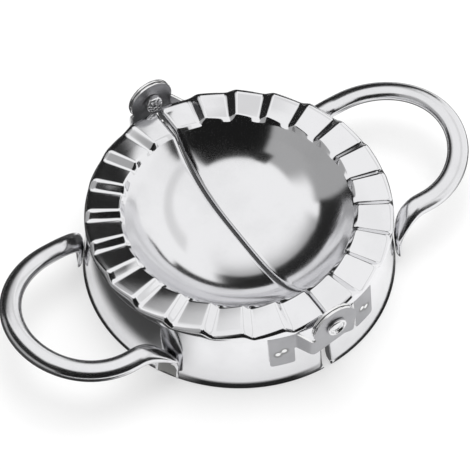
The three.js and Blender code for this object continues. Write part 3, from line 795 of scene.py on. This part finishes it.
handle_height = RIM_HEIGHT - HANDLE_DROP
foot_low = handle_height - FOOT_DROP
foot_high = foot_low + FOOT_LENGTH
handle_reach = skirt_foot + HANDLE_STANDOFF


def fullness_of_lead(share):
    """How far the crushed tube has opened again, at a share of the lead from the foot to the loop."""
    t = clamped((share - CRUSH_SHARE) / (1 - CRUSH_SHARE))
    return t * t * (3 - 2 * t)


def tube_line():
    """Stations along the tube's middle line on the near half: the centre and the two half axes."""
    lean = Vector((math.cos(FOOT_ANGLE), -math.sin(FOOT_ANGLE), 0))

    def on_wall(level):
        return lean * (wall_radius(level) + RUNNING_GAP + FOOT_THICKNESS / 2) + Vector((0, 0, level))

    low, high = on_wall(foot_low), on_wall(foot_high)
    up = (high - low).normalized()
    foot_across = Vector((math.sin(FOOT_ANGLE), math.cos(FOOT_ANGLE), 0))
    lead_across = Vector((0, 1, 0))
    lead = Vector((handle_reach - LEAD_LENGTH, -HANDLE_ROUND, handle_height))
    guide = [high, high + up * FOOT_BEND, lead - Vector((LEAD_BEND, 0, 0)), lead]
    stations = [(low.lerp(high, t), up, foot_across, 0.0) for t in shares(FOOT_STEPS)[:-1]]
    for t in shares(LEAD_STEPS):
        weights = ((1 - t) ** 3, 3 * t * (1 - t) ** 2, 3 * t * t * (1 - t), t ** 3)
        centre = sum((g * w for g, w in zip(guide, weights)), Vector())
        speeds = ((1 - t) ** 2, 2 * t * (1 - t), t * t)
        along = sum(((b - a) * w for a, b, w in zip(guide, guide[1:], speeds)), Vector()).normalized()
        across = foot_across.lerp(lead_across, t).normalized()
        stations.append((centre, along, across, fullness_of_lead(t)))
    for n in range(ROUND_STEPS + 1):
        turn = math.pi / 2 * n / ROUND_STEPS
        centre = Vector((
            handle_reach + HANDLE_ROUND * math.sin(turn),
            -HANDLE_ROUND * math.cos(turn),
            handle_height + HANDLE_RISE * (0.5 - 0.5 * math.cos(2 * turn)),
        ))
        along = Vector((math.cos(turn), math.sin(turn), 0))
        across = Vector((-math.sin(turn), math.cos(turn), 0))
        stations.append((centre, along, across, 1.0))
    line = []
    for centre, along, across, fullness in stations:
        over = across.cross(along).normalized()
        tilt = Matrix.Rotation(-TUBE_TILT * fullness, 3, along)
        width = FOOT_WIDTH + (TUBE_WIDTH - FOOT_WIDTH) * fullness
        thickness = FOOT_THICKNESS + (TUBE_THICKNESS - FOOT_THICKNESS) * fullness
        line.append((centre, tilt @ across * (width / 2), tilt @ over * (thickness / 2)))
    return line


def tube_path():
    """The whole middle line as a mesh of edges whose points carry the tube's half axes."""
    near = tube_line()
    far = [[Vector((v.x, -v.y, v.z)) for v in station] for station in near[-2::-1]]
    stations = near + far
    links = [(n, n + 1) for n in range(len(stations) - 1)]
    mesh = bpy.data.meshes.new("tube_path")
    mesh.from_pydata([tuple(station[0] * MM) for station in stations], links, [])
    for label, at in (("half_width", 1), ("half_thickness", 2)):
        layer = mesh.attributes.new(label, "FLOAT_VECTOR", "POINT")
        layer.data.foreach_set("vector", [x for station in stations for x in station[at] * MM])
    return mesh


def tube_drawing():
    """The rule of the tube: rings round a path, its two ends cut back to an arch on the outer side."""
    tree, size, keys = tool("tube_drawing", {"Sides": "Int", "Steps": "Int", "Mouth": "Float"})
    path = place(tree, "GeometryNodeMeshToCurve", values={0: size["Geometry"]})
    ring_points = size["Sides"] + 1
    grid = place(tree, "GeometryNodeMeshGrid", values={
        "Vertices X": size["Steps"], "Vertices Y": ring_points,
    })
    index = place(tree, "GeometryNodeInputIndex")
    row = (index / ring_points).math("FLOOR")
    side = index - row * ring_points
    angle = side / size["Sides"] * (2 * math.pi)
    share = row / (size["Steps"] - 1)
    total = place(tree, "GeometryNodeCurveLength", values={0: path})
    front = angle.math("SINE")
    trim = size["Mouth"] * front.math("MAXIMUM", 0) ** MOUTH_ROUND
    length = trim + (total - trim * 2) * share

    def drawn(label=None):
        """What the path holds at each point's length: its own place, or one of its named half axes."""
        values = {"Curves": path, "Length": length}
        if label:
            values["Value"] = place(
                tree, "GeometryNodeInputNamedAttribute", {"data_type": "FLOAT_VECTOR"}, {"Name": label},
            )
        return place(tree, "GeometryNodeSampleCurve", {
            "mode": "LENGTH", "data_type": "FLOAT_VECTOR", "use_all_curves": True,
        }, values, output=0 if label else 1)

    def vector(operation, values):
        return place(tree, "ShaderNodeVectorMath", {"operation": operation}, values)

    wide = vector("SCALE", {0: drawn("half_width"), "Scale": angle.math("COSINE")})
    deep = vector("SCALE", {0: drawn("half_thickness"), "Scale": front})
    spot = vector("ADD", {0: drawn(), 1: vector("ADD", {0: wide, 1: deep})})
    tube = place(tree, "GeometryNodeSetPosition", values={"Geometry": grid, "Position": spot})
    closed = place(tree, "GeometryNodeMergeByDistance", values={
        "Geometry": tube, "Distance": MERGE_DISTANCE,
    })
    finish_tool(tree, closed, size["Finish"])
    return tree, keys


tube_polish = steel("polished_tube", (0.80, 0.80, 0.815), roughness=0.19, ripple=0.006, ripple_size=5,
                    grain=0.0005, grain_size=0.3)
raw_tube = steel("raw_tube_inside", (0.34, 0.34, 0.33), roughness=0.5, ripple=0.12, ripple_size=1.6,
                 grain=0.01, grain_size=0.3, cloud=0.15)
drawing, drawing_keys = tube_drawing()
bent_tube = worked("bent_tube", tube_path(), drawing, drawing_keys, {
    "Sides": TUBE_SIDES, "Steps": TUBE_STEPS, "Mouth": MOUTH_HEIGHT * MM,
}, tube_polish)
both_halves(
    lambda name: pressed_sheet(name, bent_tube, TUBE_WALL, tube_polish, inside=raw_tube),
    ("right_loop_handle", "left_loop_handle"), ("right_handle", "left_handle"),
)


# ---- Hinge brackets: stamped from thicker sheet, left satin. Their steel's colour is darkened as painted
# dark reflection, and their cut edges are a lighter copy of it as painted highlight. A tab is spot-welded
# on the skirt, an arm steps out from it, and a round ear sits on the rivet: one ear outside, the other
# inside it.

AXIS_CLEARANCE = 0.6
BRACKET_SHEET = 0.8
EAR_RADIUS = 7.4
EAR_STANDOFF = 2.6
EAR_STEPS = 64
JOG_RUN = 2.5
TAB_WIDTH = 8.8
TAB_HEIGHT = 12.5
TAB_CORNER = 0.8
CORNER_STEPS = 4
ARM_WIDTH = 6.2
BRACKET_BEND = 1.0
SOFT_BEND = BRACKET_BEND * 0.8
RIVET_RADIUS = 1.8
HOLE_SIDES = 32
WELDS = ((15.9, 15.3), (13.9, 16.4))
WELD_DEPTH = 0.3
WELD_RADIUS = 0.95
# Painted shade in a dark ring round each weld dimple and a painted highlight in its middle: from and to
# which share of the weld, and the grey there.
WELD_SHADE_AND_HIGHLIGHT = ((0.02, 0.25, 0.28), (0.35, 0.6, 0.97))
JOG_CUTS = (-1.2, 0.2, 26)
TAB_CUTS = (2.2, 0.45, 20)
LEVEL_CUTS = (0, 0.5, 24)
CUT_SNAP = 1e-5

axis_height = RIM_HEIGHT + AXIS_CLEARANCE
arm_top = RIM_HEIGHT - RIM_LIP_DROP - RUNNING_GAP
arm_drop = axis_height - arm_top
arm_bottom = arm_top - ARM_WIDTH
tab_bottom = arm_top - TAB_HEIGHT
inner_ear = RIM_RADIUS + EAR_STANDOFF
outer_ear = inner_ear + BRACKET_SHEET + RUNNING_GAP
jog_end = math.sqrt(EAR_RADIUS ** 2 - arm_drop ** 2) + RUNNING_GAP + BRACKET_BEND / 2
tab_wall = wall_radius(tab_bottom) + RUNNING_GAP
tab_near = jog_end + JOG_RUN
tab_far = tab_wall * math.sin(math.asin(tab_near / tab_wall) + TAB_WIDTH / tab_wall)


def bracket_outline():
    """The outline seen along the hinge axis, from the tab's far corner round to the ear and back."""
    # The ear's round starts where the arm's top meets it, and leaves straight for the arm's heel.
    meets = math.asin(arm_drop / EAR_RADIUS)
    heel = Vector((jog_end - BRACKET_SHEET, arm_bottom - axis_height))
    leaves = math.atan2(heel.y, heel.x) - math.acos(EAR_RADIUS / heel.length)
    tab_inner = tab_near + BRACKET_BEND
    sweep = (leaves + meets) % (2 * math.pi)
    ear = []
    for n in range(EAR_STEPS + 1):
        turn = -meets + sweep * n / EAR_STEPS
        ear.append((EAR_RADIUS * math.cos(turn), axis_height + EAR_RADIUS * math.sin(turn)))

    def corner(x, z, toward_x, toward_z):
        """A rounded corner, from the side along z to the side along x."""
        return [
            (x + toward_x * TAB_CORNER * (1 - math.cos(t)), z + toward_z * TAB_CORNER * (1 - math.sin(t)))
            for t in [0.0] + quarter_turn(CORNER_STEPS)
        ]

    return [
        *corner(tab_far, tab_bottom, -1, 1)[::-1],
        *corner(tab_far, arm_top, -1, -1), *ear, (heel.x, arm_bottom), (tab_inner, arm_bottom),
        *corner(tab_inner, tab_bottom, 1, 1),
    ]


def fillet(one, other):
    """How much a bend fills the corner where two faces meet, by how far apart they are."""
    return max(SOFT_BEND - abs(one - other), 0) ** 2 / (4 * SOFT_BEND)


def bracket_depth(x, z, ear_plane):
    """How far out the bracket's inner face lies: on the skirt, up the jog, or in the ear's plane."""
    wall = wall_radius(z) + RUNNING_GAP
    on_wall = math.sqrt(max(wall ** 2 - x ** 2, 0))
    jog_foot = math.sqrt(wall ** 2 - tab_near ** 2)
    slope = (ear_plane - jog_foot) / (tab_near - jog_end)
    jog = jog_foot + (tab_near - x) * slope
    depth = max(on_wall, jog) + fillet(on_wall, jog)
    return min(depth, ear_plane) - fillet(depth, ear_plane)


def weld_at(x, z):
    """1 in the middle of a weld spot, falling to 0 round it."""
    return sum(math.exp(-((x - wx) ** 2 + (z - wz) ** 2) / WELD_RADIUS ** 2) for wx, wz in WELDS)


def cuts_from(mark, cuts):
    """Where a row of cuts falls, from its start beyond a mark, its spacing and its count."""
    start, spacing, count = cuts
    return [mark + start + spacing * n for n in range(count)]


def hinge_bracket(name, ear_plane, side):
    """The blank is filled flat inside its outline, cut into strips, bent and dimpled at its welds.
    Side is -1 for the right half's near hinge and 1 for its far one."""
    form = bmesh.new()
    rim = [form.verts.new((x, 0, z)) for x, z in bracket_outline()]
    hole_radius = RIVET_RADIUS + RUNNING_GAP
    hole = [
        form.verts.new((hole_radius * math.cos(turn), 0, axis_height + hole_radius * math.sin(turn)))
        for turn in [2 * math.pi * n / HOLE_SIDES for n in range(HOLE_SIDES)]
    ]
    edges = [
        form.edges.new((start, end))
        for loop in (rim, hole) for start, end in zip(loop, loop[1:] + loop[:1])
    ]
    bmesh.ops.triangle_fill(form, use_beauty=True, use_dissolve=False, edges=edges)
    upright = cuts_from(jog_end, JOG_CUTS) + cuts_from(tab_near, TAB_CUTS)
    level = cuts_from(tab_bottom, LEVEL_CUTS)
    for at, normal in [(x, (1, 0, 0)) for x in upright] + [(z, (0, 0, 1)) for z in level]:
        bmesh.ops.bisect_plane(
            form, geom=form.verts[:] + form.edges[:] + form.faces[:], dist=CUT_SNAP,
            plane_co=Vector(normal) * at, plane_no=normal,
        )
    weld = form.verts.layers.float.new("weld")
    for spot in form.verts:
        x, z = spot.co.x, spot.co.z
        spot[weld] = weld_at(x, z)
        spot.co.y = side * (bracket_depth(x, z, ear_plane) - WELD_DEPTH * spot[weld])
    bmesh.ops.scale(form, vec=(MM, MM, MM), verts=form.verts)
    for face in form.faces:
        face.normal_update()
        if face.normal.y * side > 0:
            face.normal_flip()
    mesh = bpy.data.meshes.new(name)
    form.to_mesh(mesh)
    form.free()
    return pressed_sheet(
        name, mesh, BRACKET_SHEET, hinge_satin_painted_dark, sharp=40, even=True, sheared=sheared_edge_painted_highlight,
    )


# Painted dark reflection: the satin steel's colour is darkened to stand for the darker room the brackets
# mirror.
hinge_satin_painted_dark = steel("satin_hinge_steel_painted_dark", (0.43, 0.43, 0.445), roughness=0.4, ripple=0.02, ripple_size=3,
                    grain=0.003, grain_size=0.25, cloud=0.1, weld_shade_and_highlight=WELD_SHADE_AND_HIGHLIGHT)
# Painted highlight: a lighter copy of the bracket steel on the cut edges stands for the bright lines they
# catch.
sheared_edge_painted_highlight = steel("sheared_edge_with_painted_highlight", (0.9, 0.9, 0.9), roughness=0.2, ripple=0.004, ripple_size=2,
                       grain=0.001, grain_size=0.2)
for kind, ear_plane, side in (("inner", inner_ear, -1), ("outer", outer_ear, 1)):
    both_halves(
        lambda name: hinge_bracket(name, ear_plane, side),
        (f"right_{kind}_ear", f"left_{kind}_ear"),
        (f"right_{kind}_hinge_bracket", f"left_{kind}_hinge_bracket"),
    )


# ---- Rivets: a turned pin through each pair of ears, with a dished head outside and its tubular end
# rolled over the inner ear in a star of small splits.

HEAD_RADIUS = 3.2
HEAD_HEIGHT = 1.1
HEAD_DISH = 0.8
HEAD_ROUND = 0.6
DISH_ROUND = 0.3
DISH_SLOPE = 0.35
SEAT_ROUND = 0.12
SHANK_ROUND = 0.1
ROLLED_RADIUS = 2.9
ROLLED_LENGTH = 2.1
ROLLED_ROUND = 0.7
BORE_RADIUS = 1.1
BORE_DEPTH = 1.6
BORE_WALL = BORE_DEPTH * 0.8
BORE_MOUTH_ROUND = 0.45
BORE_FOOT_ROUND = 0.2
RIVET_SIDES = 64
STAR_POINTS = 6
STAR_DEPTH = 0.3
STAR_SHARPNESS = 6
RIVET_SHARP = math.radians(45)

rivet_bright = steel("bright_rivet_steel", (0.82, 0.82, 0.83), roughness=0.17, ripple=0.006, ripple_size=2,
                     grain=0.0008, grain_size=0.2)


def rivet(name, side, node):
    """Turned about the hinge axis; side is -1 for the near hinge and 1 for the far one."""
    face = outer_ear + BRACKET_SHEET + RUNNING_GAP / 2 + HEAD_HEIGHT
    seat = inner_ear - RUNNING_GAP / 2
    tip = seat - ROLLED_LENGTH
    profile = softened([
        (0, face - HEAD_DISH, 0),
        (HEAD_RADIUS - 3 * DISH_SLOPE, face - HEAD_DISH, DISH_ROUND),
        (HEAD_RADIUS - 2 * DISH_SLOPE, face, DISH_ROUND),
        (HEAD_RADIUS, face, HEAD_ROUND),
        (HEAD_RADIUS, face - HEAD_HEIGHT, SEAT_ROUND),
        (RIVET_RADIUS, face - HEAD_HEIGHT, SHANK_ROUND),
        (RIVET_RADIUS, seat, SHANK_ROUND),
        (ROLLED_RADIUS, seat, SEAT_ROUND),
        (ROLLED_RADIUS, tip, ROLLED_ROUND),
        (BORE_RADIUS, tip, BORE_MOUTH_ROUND),
        (BORE_RADIUS, tip + BORE_WALL, BORE_FOOT_ROUND),
        (0, tip + BORE_DEPTH, 0),
    ], steps=5)
    rows = []
    for p in profile:
        rolled = p.x < ROLLED_RADIUS and p.y < tip + BORE_DEPTH
        split_depth = STAR_DEPTH * min(p.x / BORE_RADIUS, 1) if rolled else 0
        ring = []
        for n in range(RIVET_SIDES + 1):
            turn = 2 * math.pi * n / RIVET_SIDES
            out = p.y + split_depth * max(math.cos(STAR_POINTS * turn), 0) ** STAR_SHARPNESS
            across, up = p.x * math.cos(turn) * side, p.x * math.sin(turn)
            ring.append(Vector((across, side * out, axis_height + up)))
        rows.append(ring)
    mesh = joined(skin(rows))
    mesh.materials.append(rivet_bright)
    mesh.shade_smooth()
    mesh.set_sharp_from_angle(angle=RIVET_SHARP)
    piece = set_out(name, mesh)
    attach(piece, "left_half")
    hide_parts(node)


rivet("near_rivet", -1, "near_hinge_rivet")
rivet("far_rivet", 1, "far_hinge_rivet")
